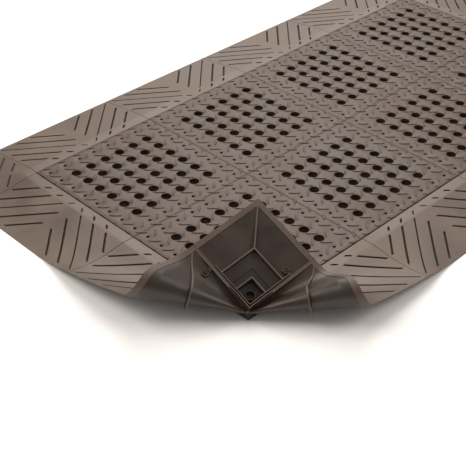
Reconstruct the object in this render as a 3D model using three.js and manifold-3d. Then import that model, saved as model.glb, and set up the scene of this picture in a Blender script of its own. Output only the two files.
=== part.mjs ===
// Interlocking drainage mat: square hollow-backed tiles in a grid, edged with sloping ramps and corner ramps.
// Millimetres, +Z up. The origin is at the middle of the mat, on the floor. X runs along its length.
// The corner ramp at -X -Y is turned up and over, and it takes the ends of its two ramps with it.

import * as THREE from 'three';
import { mergeVertices } from 'three/addons/utils/BufferGeometryUtils.js';
import Module from 'manifold-3d';

const wasm = await Module();
wasm.setup();

// Mat
const tile_side = 304.8;
const tiles_long = 4;
const tiles_wide = 2;
const mat_thickness = 19.05;
const seam_gap = 0.6;

// Tile: a skin with drain holes over a hollow back, on walls and legs
const tile_skin = 4.5;
const tile_wall = 3.2;
const hole_diameter = 20.6;
const hole_pitch = 38.1;
const hole_margin = 57;
const hole_facets = 8;
const leg_side = 9;
const leg_spacing = 76.2;
const leg_margin = 70;

// Ramp: a flat band beside the tile, then a slope down to a thin lip
const ramp_width = 152.4;
const ramp_band = 25;
const ramp_lip = 2;
const ramp_skin = 2.6;
const ramp_wall = 3.2;
const ramp_toe = 0.8;
const rib_thickness = 3;

// Corner ramp: a hipped square with square ribs, a hip rib and a boss underneath
const inner_rib_at = 42;
const outer_rib_at = 82;
const boss_at = 19;
const boss_diameter = 12;
const boss_facets = 8;

// Loops that reach under the next piece, and the pegs that they clip round
const loop_reach = 16;
const loop_outer = 15;
const loop_bore = 7;
const loop_thickness = 3;
const loop_level = 1.5;
const loop_facets = 6;
const tongue_width = 8;
const peg_diameter = 5.6;
const peg_root = 1.2;
const notch_clearance = 0.6;
const side_joint_at = 76.2;
const ramp_joint_at = 99;

// The turned-up corner. Angles are in degrees, and angles around the corner run from the tile's edge.
const turn_axis = new THREE.Vector3(-0.688, 0.724, 0.057).normalize();
const turn_angle = 153.5;
const left_lift_angle = 36;
const front_lift_angle = 26;
const lift_centre = 22;
const lift_reach = 18;
const crease_reach = 8;
const lift_fade = 114;
const crease_notch = 4;
const crease_block = 24;

const clearance = seam_gap / 2;
const ramp_top_z = (r) => (r <= ramp_band
  ? mat_thickness
  : ramp_lip + (mat_thickness - ramp_lip) * (ramp_width - r) / (ramp_width - ramp_band));
const mat_length = tiles_long * tile_side;
const mat_width = tiles_wide * tile_side;

// Solids

function to_solid(geometry) {
  const bare = new THREE.BufferGeometry();
  bare.setAttribute('position', geometry.getAttribute('position').clone());
  if (geometry.index) bare.setIndex(geometry.index.clone());
  const merged = mergeVertices(bare, 1e-4);
  return new wasm.Manifold(new wasm.Mesh({
    numProp: 3,
    vertProperties: merged.attributes.position.array,
    triVerts: new Uint32Array(merged.index.array),
  }));
}

function to_geometry(solid) {
  const mesh = solid.getMesh();
  const geometry = new THREE.BufferGeometry();
  geometry.setAttribute('position', new THREE.BufferAttribute(new Float32Array(mesh.vertProperties), 3));
  geometry.setIndex(new THREE.BufferAttribute(new Uint32Array(mesh.triVerts), 1));
  return geometry;
}

function box(x0, y0, z0, x1, y1, z1) {
  const geometry = new THREE.BoxGeometry(x1 - x0, y1 - y0, z1 - z0);
  geometry.translate((x0 + x1) / 2, (y0 + y1) / 2, (z0 + z1) / 2);
  return to_solid(geometry);
}

// An upright prism with flat sides across the stated diameter's circle
function prism(diameter, facets, x, y, z0, z1) {
  const geometry = new THREE.CylinderGeometry(diameter / 2, diameter / 2, z1 - z0, facets);
  geometry.rotateX(Math.PI / 2);
  geometry.rotateZ(Math.PI / facets);
  geometry.translate(x, y, (z0 + z1) / 2);
  return to_solid(geometry);
}

// A wall from (x, y) along the direction of (dx, dy), from below the floor up into the skin of a ramp
function slanted_rib(x, y, dx, dy, length, steps = 1) {
  const height = mat_thickness - ramp_skin / 2 + 1;
  const geometry = new THREE.BoxGeometry(length, rib_thickness, height, steps, 1, 1);
  geometry.translate(length / 2, 0, height / 2 - 1);
  geometry.rotateZ(Math.atan2(dy, dx));
  geometry.translate(x, y, 0);
  return geometry;
}

// Makes a solid of the geometry with every vertex sent to place(r, z, a), where a is x and r is y.
// A place that mirrors the shape turns its faces round, so they are turned back.
function placed_solid(geometry, place) {
  const loose = geometry.index ? geometry.toNonIndexed() : geometry;
  const position = loose.getAttribute('position');
  for (let i = 0; i < position.count; i += 1) {
    const placed = place(position.getY(i), position.getZ(i), position.getX(i));
    position.setXYZ(i, placed.x, placed.y, placed.z);
  }
  const solid = to_solid(loose);
  if (solid.volume() > 0) return solid;
  for (let i = 0; i < position.count; i += 3) {
    const [x, y, z] = [position.getX(i + 1), position.getY(i + 1), position.getZ(i + 1)];
    position.setXYZ(i + 1, position.getX(i + 2), position.getY(i + 2), position.getZ(i + 2));
    position.setXYZ(i + 2, x, y, z);
  }
  return to_solid(loose);
}

// Ramp sections of [r, z]: r is the distance out from the seam with the tile, z is the height. cuts are the
// places in r where a bent ramp needs a line of points to follow its curve.

function ramp_section(cuts) {
  const bottom = cuts.map((r) => [r, 0]);
  const top = cuts.map((r) => [r, ramp_top_z(r)]).reverse();
  return [[clearance, 0], ...bottom, [ramp_width, 0], [ramp_width, ramp_lip], ...top, [clearance, mat_thickness]];
}

const pocket_start = clearance + ramp_wall;
const pocket_end = ramp_width
  - (ramp_toe + ramp_skin - ramp_lip) * (ramp_width - ramp_band) / (mat_thickness - ramp_lip);

function pocket_section(cuts) {
  const bottom = cuts.map((r) => [r, -1]);
  const ceiling = cuts.map((r) => [r, ramp_top_z(r) - ramp_skin]).reverse();
  return [[pocket_start, -1], ...bottom, [pocket_end, -1], [pocket_end, ramp_toe], ...ceiling,
    [pocket_start, mat_thickness - ramp_skin]];
}

// Extrudes a section along a from 0 to 1 and sends its points on
function run_section(section, steps, place) {
  const shape = new THREE.Shape(section.map(([r, z]) => new THREE.Vector2(r, z)));
  const geometry = new THREE.ExtrudeGeometry(shape, { depth: 1, steps, bevelEnabled: false });
  const position = geometry.getAttribute('position');
  for (let i = 0; i < position.count; i += 1) {
    position.setXYZ(i, position.getZ(i), position.getX(i), position.getY(i));
  }
  return placed_solid(geometry, place);
}

// Joints. A loop grows from one piece along +x at a seam on x = 0, and the peg stands beyond the seam.

function loop_solid() {
  const top = loop_level + loop_thickness;
  const root = -clearance - Math.min(tile_wall, ramp_wall) / 2;
  const tongue = box(root, -tongue_width / 2, loop_level, loop_reach, tongue_width / 2, top);
  const ring = prism(loop_outer, loop_facets, loop_reach, 0, loop_level, top);
  return tongue.add(ring).subtract(prism(loop_bore, loop_facets, loop_reach, 0, 0, mat_thickness));
}

function notch_solid(wall) {
  const half = tongue_width / 2 + notch_clearance;
  const top = loop_level + loop_thickness + notch_clearance;
  return box(-clearance, -half, -1, clearance + wall + notch_clearance, half, top);
}

function peg_solid(ceiling) {
  return prism(peg_diameter, loop_facets, loop_reach, 0, loop_level, ceiling + peg_root);
}

function moved(solid, angle, x, y, z = 0) {
  return solid.rotate([0, 0, angle]).translate([x, y, z]);
}

// Tile, centred on the origin. Loops grow on its -X and +Y sides, and pegs stand by its +X and -Y sides.

const tile_half = tile_side / 2;
const tile_ceiling = mat_thickness - tile_skin;

function grid_places(margin, spacing) {
  const count = Math.floor((tile_side - 2 * margin) / spacing) + 1;
  const places = [];
  for (let i = 0; i < count; i += 1) places.push((i - (count - 1) / 2) * spacing);
  return places;
}

const hole_places = grid_places(hole_margin, hole_pitch);
const leg_places = grid_places(leg_margin, leg_spacing);

function joined_prisms(places, make) {
  const solids = [];
  for (const x of places) {
    for (const y of places) solids.push(make(x, y));
  }
  return wasm.Manifold.union(solids);
}

function tile_solid() {
  const edge = tile_half - clearance;
  const inside = edge - tile_wall;
  const leg_half = leg_side / 2;
  const legs = joined_prisms(leg_places, (x, y) => (
    box(x - leg_half, y - leg_half, -2, x + leg_half, y + leg_half, mat_thickness)));
  const hollow = box(-inside, -inside, -1, inside, inside, tile_ceiling).subtract(legs);
  const holes = joined_prisms(hole_places, (x, y) => (
    prism(hole_diameter, hole_facets, x, y, -1, mat_thickness + 1)));
  let tile = box(-edge, -edge, 0, edge, edge, mat_thickness).subtract(hollow).subtract(holes);
  tile = tile.add(moved(peg_solid(tile_ceiling), 180, tile_half, side_joint_at));
  tile = tile.add(moved(peg_solid(tile_ceiling), 90, side_joint_at, -tile_half));
  tile = tile.subtract(moved(notch_solid(tile_wall), 180, tile_half, side_joint_at));
  tile = tile.subtract(moved(notch_solid(tile_wall), 90, side_joint_at, -tile_half));
  tile = tile.add(moved(loop_solid(), 180, -tile_half, side_joint_at));
  return tile.add(moved(loop_solid(), 90, side_joint_at, tile_half));
}

// Ramp frame: a runs along the seam with the tile from 0 to tile_side, r runs out from it, z up from the
// floor, and place(r, z, a) sends a point of that frame to the mat.

const inner_joint_at = tile_half + side_joint_at;

// kinds says whether a loop or a peg is at the tile's seam (inner) and at the ramp's two ends (low, high)
function ramp_joints(kinds) {
  const ceiling = ramp_top_z(ramp_joint_at) - ramp_skin;
  const seams = [
    { kind: kinds.inner, out: -90, a: inner_joint_at, r: 0, ceiling: mat_thickness - ramp_skin },
    { kind: kinds.low, out: 180, a: 0, r: ramp_joint_at, ceiling },
    { kind: kinds.high, out: 0, a: tile_side, r: ramp_joint_at, ceiling },
  ];
  const add = [];
  const cut = [];
  for (const seam of seams) {
    if (seam.kind === 'loop') {
      add.push(moved(loop_solid(), seam.out, seam.a, seam.r));
    } else {
      add.push(moved(peg_solid(seam.ceiling), seam.out + 180, seam.a, seam.r));
      cut.push(moved(notch_solid(ramp_wall), seam.out + 180, seam.a, seam.r));
    }
  }
  return { add, cut };
}

// line(s, run) gives where line s of points across the ramp starts and ends along it, and how far its inner
// end stands in from the run's r0. A run covers a0 to a1 along the ramp and r0 to r1 across it.
const straight_line = (s, { a0, a1 }) => ({ inner: a0 + s * (a1 - a0), outer: a0 + s * (a1 - a0), inset: 0 });

function ramp_solid(make) {
  const { place, joints, joint_place = place, trims = [] } = make;
  const { cuts = [ramp_band], steps = 1, line = straight_line, rib_steps = 1 } = make;
  const low = clearance;
  const high = tile_side - clearance;
  const across = (run) => (r, z, s) => {
    const at = line(s, run);
    const share = (r - run.r0) / (run.r1 - run.r0);
    const out = r + at.inset * (1 - share);
    const height = z > 0 ? z + ramp_top_z(out) - ramp_top_z(r) : z;
    return place(out, height, at.inner + share * (at.outer - at.inner));
  };
  const outside = { a0: low, a1: high, r0: clearance, r1: ramp_width, notch: crease_notch };
  const inside = { a0: low + ramp_wall, a1: high - ramp_wall, r0: pocket_start, r1: pocket_end,
    notch: crease_block };
  const body = run_section(ramp_section(cuts), steps, across(outside));
  let hollow = run_section(pocket_section(cuts), steps, across(inside));
  for (const [a, way] of [[0, 1], [tile_side, -1]]) {
    const rib = slanted_rib(a, ramp_width, way, -1, Math.SQRT2 * ramp_width, rib_steps);
    hollow = hollow.subtract(placed_solid(rib, place));
  }
  let ramp = body.subtract(hollow);
  for (const solid of trims) ramp = ramp.subtract(solid);
  for (const solid of joints.cut) ramp = ramp.subtract(placed_solid(to_geometry(solid), joint_place));
  for (const solid of joints.add) ramp = ramp.add(placed_solid(to_geometry(solid), joint_place));
  return ramp;
}

// Corner ramp frame: the tile's corner is the origin at the mat's top face, and the piece lies at -x -y.
// kinds says whether a loop or a peg is at its seam on x = 0 and at its seam on y = 0.

function corner_solid(kinds) {
  const sections = (section, a0, a1) => {
    const along = (s) => -(a0 + s * (a1 - a0));
    const one = run_section(section, 1, (r, z, s) => new THREE.Vector3(-r, along(s), z));
    const other = run_section(section, 1, (r, z, s) => new THREE.Vector3(along(s), -r, z));
    return one.intersect(other);
  };
  const half = rib_thickness / 2;
  const frame_rib = (at) => box(-at - half, -at - half, -2, -1, -1, mat_thickness + 1)
    .subtract(box(-at + half, -at + half, -3, 0, 0, mat_thickness + 2));
  const hip_length = Math.SQRT2 * (ramp_width - outer_rib_at);
  const hip_rib = to_solid(slanted_rib(-outer_rib_at, -outer_rib_at, -1, -1, hip_length));
  const boss = prism(boss_diameter, boss_facets, -boss_at, -boss_at, -2, mat_thickness + 1);
  const hollow = sections(pocket_section([ramp_band]), pocket_start, pocket_end)
    .subtract(frame_rib(inner_rib_at))
    .subtract(frame_rib(outer_rib_at))
    .subtract(hip_rib)
    .subtract(boss);
  let corner = sections(ramp_section([ramp_band]), clearance, ramp_width).subtract(hollow);
  const seams = [
    { kind: kinds.x, out: 0, x: 0, y: -ramp_joint_at },
    { kind: kinds.y, out: 90, x: -ramp_joint_at, y: 0 },
  ];
  for (const { kind, out, x, y } of seams) {
    if (kind === 'loop') {
      corner = corner.add(moved(loop_solid(), out, x, y));
    } else {
      const ceiling = ramp_top_z(ramp_joint_at) - ramp_skin;
      corner = corner.subtract(moved(notch_solid(ramp_wall), out + 180, x, y));
      corner = corner.add(moved(peg_solid(ceiling), out + 180, x, y));
    }
  }
  return corner.translate([0, 0, -mat_thickness]);
}

// The fold. Around the tile's corner each ramp bends as a cone: a point keeps its distance from the corner.
// Its direction follows a curve on a sphere that rises gently, turns back at a tight crease and then runs
// flat to the end of the corner ramp. way is the direction along the crease curve, up is the top's normal.

const degrees = THREE.MathUtils.radToDeg;
const radians = THREE.MathUtils.degToRad;

function bump(angle, centre, reach) {
  const u = Math.max(-1, Math.min(1, (angle - centre) / reach));
  return (1 + Math.cos(Math.PI * u)) / (2 * reach);
}

const fold_steps = 180;

function fold_frames({ start, side, lift }, crease_centre, crease_turn, flap_turn) {
  const out = start.clone();
  const way = side.clone();
  const up = new THREE.Vector3(0, 0, 1);
  const frames = [{ out: out.clone(), up: up.clone(), way: way.clone() }];
  const step = 90 / fold_steps;
  const flap_start = crease_centre + crease_reach;
  for (let i = 0; i < fold_steps; i += 1) {
    const angle = (i + 0.5) * step;
    const bend = lift * bump(angle, lift_centre, lift_reach)
      + crease_turn * bump(angle, crease_centre, crease_reach)
      + flap_turn * bump(angle, (flap_start + 90) / 2, (90 - flap_start) / 2);
    const spin = new THREE.Vector3().crossVectors(out, way).multiplyScalar(radians(step));
    spin.addScaledVector(new THREE.Vector3().crossVectors(way, up), radians(bend * step));
    const size = spin.length();
    const axis = spin.normalize();
    for (const v of [out, way, up]) v.applyAxisAngle(axis, size);
    frames.push({ out: out.clone(), up: up.clone(), way: way.clone() });
  }
  return frames;
}

// Finds the crease's place and turn and the flap's bend that bring the ramp's end onto the corner ramp's edge.
function solved_fold(fold, first_guess) {
  const miss = (p) => {
    const last = fold_frames(fold, ...p)[fold_steps];
    return [...last.out.clone().sub(fold.end).toArray(), ...last.way.clone().sub(fold.end_way).toArray()];
  };
  let p = first_guess;
  for (let round = 0; round < 12; round += 1) {
    const base = miss(p);
    const slopes = p.map((value, k) => miss(p.map((v, j) => (j === k ? v + 0.01 : v)))
      .map((m, i) => (m - base[i]) / 0.01));
    const dot = (u, v) => u.reduce((sum, value, i) => sum + value * v[i], 0);
    const n = slopes.map((u) => slopes.map((v) => dot(u, v)));
    const g = slopes.map((u) => dot(u, base));
    const matrix = new THREE.Matrix3().set(...n[0], ...n[1], ...n[2]);
    const change = new THREE.Vector3(...g).applyMatrix3(matrix.invert());
    p = [p[0] - change.x, p[1] - change.y, p[2] - change.z];
  }
  return p;
}

const turn = new THREE.Quaternion().setFromAxisAngle(turn_axis, radians(turn_angle));
const edge_left = new THREE.Vector3(-1, 0, 0).applyQuaternion(turn);
const edge_front = new THREE.Vector3(0, -1, 0).applyQuaternion(turn);
const along_x = new THREE.Vector3(1, 0, 0);
const along_y = new THREE.Vector3(0, 1, 0);
const fold_corner = new THREE.Vector3(-mat_length / 2, -mat_width / 2, mat_thickness);

const fold_left = { start: along_y, side: along_x.clone().negate(), end: edge_left, end_way: edge_front,
  lift: left_lift_angle };
const fold_front = { start: along_x, side: along_y.clone().negate(), end: edge_front, end_way: edge_left,
  lift: front_lift_angle };
fold_left.found = solved_fold(fold_left, [49, 146, -32]);
fold_front.found = solved_fold(fold_front, [49, 181, -55]);
for (const fold of [fold_left, fold_front]) fold.frames = fold_frames(fold, ...fold.found);

// Where a point of the ramp row goes: a along the seam from the tile's corner, r out from it, z up from the
// floor. What reaches under the tile stays flat, and what lies at a up to rigid_to turns with the corner ramp.
// The next ramp along still lifts at its near end, and lies flat further on.

function flat_place(fold, r, z, a) {
  return fold_corner.clone().addScaledVector(fold.start, a).addScaledVector(fold.side, r)
    .add(new THREE.Vector3(0, 0, z - mat_thickness));
}

function cone_place(fold, r, z, a) {
  const angle = degrees(Math.atan2(r, a));
  const place = Math.min(fold_steps - 1e-6, angle / 90 * fold_steps);
  const i = Math.floor(place);
  const share = place - i;
  const out = fold.frames[i].out.clone().lerp(fold.frames[i + 1].out, share).normalize();
  const up = fold.frames[i].up.clone().lerp(fold.frames[i + 1].up, share).normalize();
  return fold_corner.clone().addScaledVector(out, Math.hypot(a, r)).addScaledVector(up, z - mat_thickness);
}

function folded(fold, r, z, a, rigid_to = 0) {
  if (r <= 0) return flat_place(fold, r, z, a);
  if (a <= rigid_to) return flat_place(fold, r, z, a).sub(fold_corner).applyQuaternion(turn).add(fold_corner);
  if (a <= tile_side) return cone_place(fold, r, z, a);
  const share = Math.max(0, 1 - (a - tile_side) / lift_fade) ** 2;
  const lift = cone_place(fold, r, z, tile_side).sub(flat_place(fold, r, z, tile_side));
  return flat_place(fold, r, z, a).addScaledVector(lift, share);
}

// Blocks that trim a folded ramp by the tile's corner, where its thickness has no room to bend: one past its
// end, over the corner ramp, and one over the far side of the upright plane through the corner.

function past_end(fold) {
  const block = box(-ramp_width, -clearance, -mat_thickness, clearance, ramp_width + 1, mat_thickness + 1);
  return placed_solid(to_geometry(block), (r, z, a) => (
    flat_place(fold, r, z, a).sub(fold_corner).applyQuaternion(turn).add(fold_corner)));
}

function other_side(fold) {
  const size = 4 * ramp_width;
  const block = new THREE.BoxGeometry(size, size, size);
  block.translate(0, size / 2 - clearance, 0);
  const sense = fold === fold_left ? -135 : 45;
  block.rotateZ(radians(sense));
  block.translate(fold_corner.x, fold_corner.y, fold_corner.z);
  return to_solid(block);
}

// Lines across a folding ramp, from its far end (s = 0) to the corner ramp (s = 1). They swing round to
// point at the tile's corner where the crease is, so that each lies straight on the cone, and then swing
// back to the ramp's end.
const crease_from = 0.4;
const crease_to = 0.82;

function fan_line(fold) {
  return (s, { a0, a1, r0, r1, notch }) => {
    const at_angle = (angle) => {
      const slope = 1 / Math.tan(radians(angle));
      return { inner: (r0 + notch) * slope, outer: r1 * slope, inset: notch };
    };
    const mixed = (from, to, u, inset) => ({
      inner: from.inner + u * (to.inner - from.inner),
      outer: from.outer + u * (to.outer - from.outer),
      inset,
    });
    const first = fold.found[0] - crease_reach;
    const last = fold.found[0] + crease_reach;
    if (s < crease_from) {
      const u = s / crease_from;
      return mixed({ inner: a1, outer: a1 }, at_angle(first), u, notch * u ** 4);
    }
    if (s < crease_to) return at_angle(first + (last - first) * (s - crease_from) / (crease_to - crease_from));
    const u = (s - crease_to) / (1 - crease_to);
    return mixed(at_angle(last), { inner: a0, outer: a0 }, u, notch * (1 - u));
  };
}

// Materials: one flexible compound, a shade apart on tiles and ramps

const tile_material = new THREE.MeshStandardMaterial({ color: 0x8b7d74, roughness: 0.55, metalness: 0 });
const ramp_material = new THREE.MeshStandardMaterial({ color: 0x8a7c73, roughness: 0.5, metalness: 0 });

const mat = new THREE.Group();

function add_mesh(name, solid, material) {
  const mesh = new THREE.Mesh(to_geometry(solid), material);
  mesh.name = name;
  mat.add(mesh);
  return mesh;
}

// Tiles, in columns along X and rows along Y

const tile = tile_solid();
for (let i = 0; i < tiles_long; i += 1) {
  for (let j = 0; j < tiles_wide; j += 1) {
    const mesh = add_mesh(`tile_${i + 1}_${j + 1}`, tile, tile_material);
    mesh.position.set((i + 0.5) * tile_side - mat_length / 2, (j + 0.5) * tile_side - mat_width / 2, 0);
  }
}

// Side ramps. Each side starts at a corner of the tiled field, runs along it and slopes out from it.

const half_long = mat_length / 2;
const half_wide = mat_width / 2;
const sides = [
  { name: 'front_ramp', count: tiles_long, x: -half_long, y: -half_wide, along: along_x, out: [0, -1],
    kinds: { inner: 'loop', low: 'loop', high: 'peg' }, fold: fold_front },
  { name: 'back_ramp', count: tiles_long, x: -half_long, y: half_wide, along: along_x, out: [0, 1],
    kinds: { inner: 'peg', low: 'loop', high: 'peg' } },
  { name: 'left_ramp', count: tiles_wide, x: -half_long, y: -half_wide, along: along_y, out: [-1, 0],
    kinds: { inner: 'peg', low: 'peg', high: 'loop' }, fold: fold_left },
  { name: 'right_ramp', count: tiles_wide, x: half_long, y: -half_wide, along: along_y, out: [1, 0],
    kinds: { inner: 'loop', low: 'peg', high: 'loop' } },
];

const folded_cuts = [ramp_band, 66, 108];
const folded_steps = 22;
const folded_rib_steps = 16;
const faded_cuts = [ramp_band, 78, 120];
const faded_steps = 6;
const faded_rib_steps = 4;

// Lines of points that lie closer together near the folding ramp
function easing_line(s, { a0, a1 }) {
  const a = a0 + s * s * (a1 - a0);
  return { inner: a, outer: a, inset: 0 };
}

for (const side of sides) {
  for (let k = 0; k < side.count; k += 1) {
    const start = k * tile_side;
    const make = {
      joints: ramp_joints(side.kinds),
      place: (r, z, a) => new THREE.Vector3(side.x + r * side.out[0], side.y + r * side.out[1], z)
        .addScaledVector(side.along, start + a),
    };
    if (side.fold && k === 0) {
      Object.assign(make, { cuts: folded_cuts, steps: folded_steps, rib_steps: folded_rib_steps });
      make.line = fan_line(side.fold);
      make.trims = [past_end(side.fold), other_side(side.fold)];
      make.joint_place = (r, z, a) => folded(side.fold, r, z, a, loop_reach + peg_diameter);
      make.place = (r, z, a) => folded(side.fold, r, z, a);
    } else if (side.fold && k === 1) {
      Object.assign(make, { cuts: faded_cuts, steps: faded_steps, rib_steps: faded_rib_steps });
      make.line = easing_line;
      make.place = (r, z, a) => folded(side.fold, r, z, start + a);
    }
    add_mesh(`${side.name}_${k + 1}`, ramp_solid(make), ramp_material);
  }
}

// Corner ramps: the -x -y piece is turned about Z to reach each corner of the tiled field. The front left one
// is turned over about the tile's corner.

const corners = [
  { name: 'corner_front_left', x: -half_long, y: -half_wide, angle: 0, kinds: { x: 'peg', y: 'loop' } },
  { name: 'corner_front_right', x: half_long, y: -half_wide, angle: 90, kinds: { x: 'loop', y: 'loop' } },
  { name: 'corner_back_right', x: half_long, y: half_wide, angle: 180, kinds: { x: 'loop', y: 'peg' } },
  { name: 'corner_back_left', x: -half_long, y: half_wide, angle: 270, kinds: { x: 'peg', y: 'peg' } },
];

for (const { name, x, y, angle, kinds } of corners) {
  const corner = add_mesh(name, corner_solid(kinds), ramp_material);
  corner.position.set(x, y, mat_thickness);
  corner.rotation.z = radians(angle);
  if (name === 'corner_front_left') corner.quaternion.copy(turn);
}

export default mat;
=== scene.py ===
# %% [markdown]
# # Interlocking drainage mat
# The real object is a floor mat for wet workplaces. Square tiles of flexible vinyl clip to each other, and
# sloping ramps clip round the outside so that nobody trips on the edge. Each piece is one injection moulding,
# hollow underneath. The corner nearest the camera has been turned up and over, and its two neighbours fold
# with it.
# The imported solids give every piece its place. They are plain, so each one is replaced here by the same
# moulding with its fine shapes: round holes, tread bars, grooves, ribs and rounded edges.

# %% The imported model
import math

import bmesh
import bpy
from mathutils import Matrix, Quaternion, Vector


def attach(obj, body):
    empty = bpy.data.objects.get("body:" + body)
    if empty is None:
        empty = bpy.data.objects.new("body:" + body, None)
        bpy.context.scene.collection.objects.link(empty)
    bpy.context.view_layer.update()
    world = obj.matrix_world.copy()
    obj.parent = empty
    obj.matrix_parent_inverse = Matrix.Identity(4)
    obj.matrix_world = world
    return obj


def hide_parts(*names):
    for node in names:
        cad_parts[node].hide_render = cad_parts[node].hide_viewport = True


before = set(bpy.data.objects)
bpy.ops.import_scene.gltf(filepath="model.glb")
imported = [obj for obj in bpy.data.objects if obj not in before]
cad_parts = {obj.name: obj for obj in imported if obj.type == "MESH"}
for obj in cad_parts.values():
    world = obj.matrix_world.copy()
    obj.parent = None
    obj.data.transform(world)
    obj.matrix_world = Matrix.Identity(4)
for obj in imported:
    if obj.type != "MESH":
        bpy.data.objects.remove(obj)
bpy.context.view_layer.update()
MM = 0.001

# %% [markdown]
# ## Camera
# A product photographer stands some two metres off and uses a long lens, which keeps the parallel edges of a
# big flat thing from running together too fast. The camera is made first, so that every later step can be
# rendered and judged. Its place and direction are stated directly: three directions make the matrix.

# %% Camera
LENS_LENGTH = 82.59
SENSOR_WIDTH = 36.0
camera_place = Vector((-1613.5, -1275.7, 1237.1)) * MM
camera_ahead = Vector((0.56430, 0.56745, -0.59964))
camera_right = Vector((0.71128, -0.70289, 0.0042))

lens = bpy.data.cameras.new("long_lens")
lens.lens = LENS_LENGTH
lens.sensor_width = SENSOR_WIDTH
camera = bpy.data.objects.new("camera", lens)
bpy.context.scene.collection.objects.link(camera)
up = camera_right.cross(camera_ahead).normalized()
turned = Matrix((camera_right, up, -camera_ahead)).transposed().to_4x4()
camera.matrix_world = Matrix.Translation(camera_place) @ turned
bpy.context.scene.camera = camera
print("camera height in mm:", round(camera_place.z / MM))

# %% [markdown]
# ## Floor and light
# The mat lies on a white studio floor. Three soft panels stand behind it, one above the other: they give the
# vinyl its sheen and leave the faces towards the camera dark, which is what makes grooves and tread bars
# read. A panel on either side lights the floor and the bent undersides. The lamps are slightly warm, and a
# plain world of the same white fills the shadows.

# %% Floor and light


def linear(hex_colour):
    """An sRGB hex colour as linear red, green, blue and alpha."""
    parts = [int(hex_colour[i : i + 2], 16) / 255 for i in (1, 3, 5)]
    curve = [v / 12.92 if v <= 0.04045 else ((v + 0.055) / 1.055) ** 2.4 for v in parts]
    return (*curve, 1.0)


def add_node(tree, kind, values=(), links=()):
    """Adds one node: values are put on its sockets, links join sockets to other nodes' outputs."""
    made = tree.nodes.new(kind)
    for name, value in dict(values).items():
        made.inputs[name].default_value = value
    for name, output in dict(links).items():
        tree.links.new(output, made.inputs[name])
    return made


FLOOR_REACH = 14
floor_mesh = bpy.data.meshes.new("floor")
floor_plan = [(-1, -1), (1, -1), (1, 1), (-1, 1)]
floor_mesh.from_pydata([(x * FLOOR_REACH, y * FLOOR_REACH, 0) for x, y in floor_plan], [], [(0, 1, 2, 3)])
floor = bpy.data.objects.new("floor", floor_mesh)
bpy.context.scene.collection.objects.link(floor)

paint = bpy.data.materials.new("matt_white_floor_paint")
paint.use_nodes = True
paint_shader = paint.node_tree.nodes["Principled BSDF"]
paint_shader.inputs["Base Color"].default_value = linear("#fbfbfb")
paint_shader.inputs["Roughness"].default_value = 0.9
floor_mesh.materials.append(paint)

STUDIO_WHITE = "#fff9f3"
WORLD_STRENGTH = 0.36

world = bpy.data.worlds.new("white_studio")
world.use_nodes = True
background = world.node_tree.nodes["Background"]
background.inputs["Color"].default_value = linear(STUDIO_WHITE)
background.inputs["Strength"].default_value = WORLD_STRENGTH
bpy.context.scene.world = world
bpy.context.scene.view_settings.view_transform = "Standard"

PANEL_SIZE = 3.0
PANEL_DISTANCE = 5.0


def soft_panel(name, azimuth, elevation, power):
    """A square light panel that faces the middle of the mat, at two angles in degrees from there."""
    turn, rise = math.radians(azimuth), math.radians(elevation)
    place = Vector((math.cos(turn) * math.cos(rise), math.sin(turn) * math.cos(rise), math.sin(rise)))
    place *= PANEL_DISTANCE
    panel = bpy.data.lights.new(name, "AREA")
    panel.size = PANEL_SIZE
    panel.energy = power
    panel.color = linear(STUDIO_WHITE)[:3]
    lamp = bpy.data.objects.new(name, panel)
    lamp.location = place
    lamp.rotation_mode = "QUATERNION"
    lamp.rotation_quaternion = (-place).to_track_quat("-Z", "Y")
    bpy.context.scene.collection.objects.link(lamp)
    print(name, "at", [round(v, 2) for v in place], "m,", power, "W")


soft_panel("panel_behind_low", azimuth=45, elevation=30, power=50)
soft_panel("panel_behind", azimuth=45, elevation=45, power=55)
soft_panel("panel_behind_high", azimuth=45, elevation=62, power=80)
soft_panel("panel_left", azimuth=135, elevation=40, power=140)
soft_panel("panel_right", azimuth=315, elevation=40, power=90)

# %% [markdown]
# ## Vinyl
# The mat is flexible PVC, injection moulded in one grey-brown compound. PVC has an IOR of about 1.53. The
# walking faces come from a mould face with a fine spark-eroded grain, so they are satin and break the light
# up; the undersides come from smoother steel and shine more. The underside is painted darker than the face:
# painted shade for the pockets, bores and walls. Rims and rib edges are painted lighter, as painted light
# against that shade. The grooves come from unpolished steel, so they are dull, and they are painted dark for
# the shade that falls in them. A grain of under half a millimetre is too fine to show at this distance, so it
# is drawn at 1.5 to 3 mm. Slow changes of shade and gloss stand for flow in the mould and for handling. The
# colours are darker than the mat looks, because the sheen of the panels lies over them.

# %% Vinyl
PVC_IOR = 1.53
CLOUD_LOW, CLOUD_HIGH = 0.3, 0.7


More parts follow.
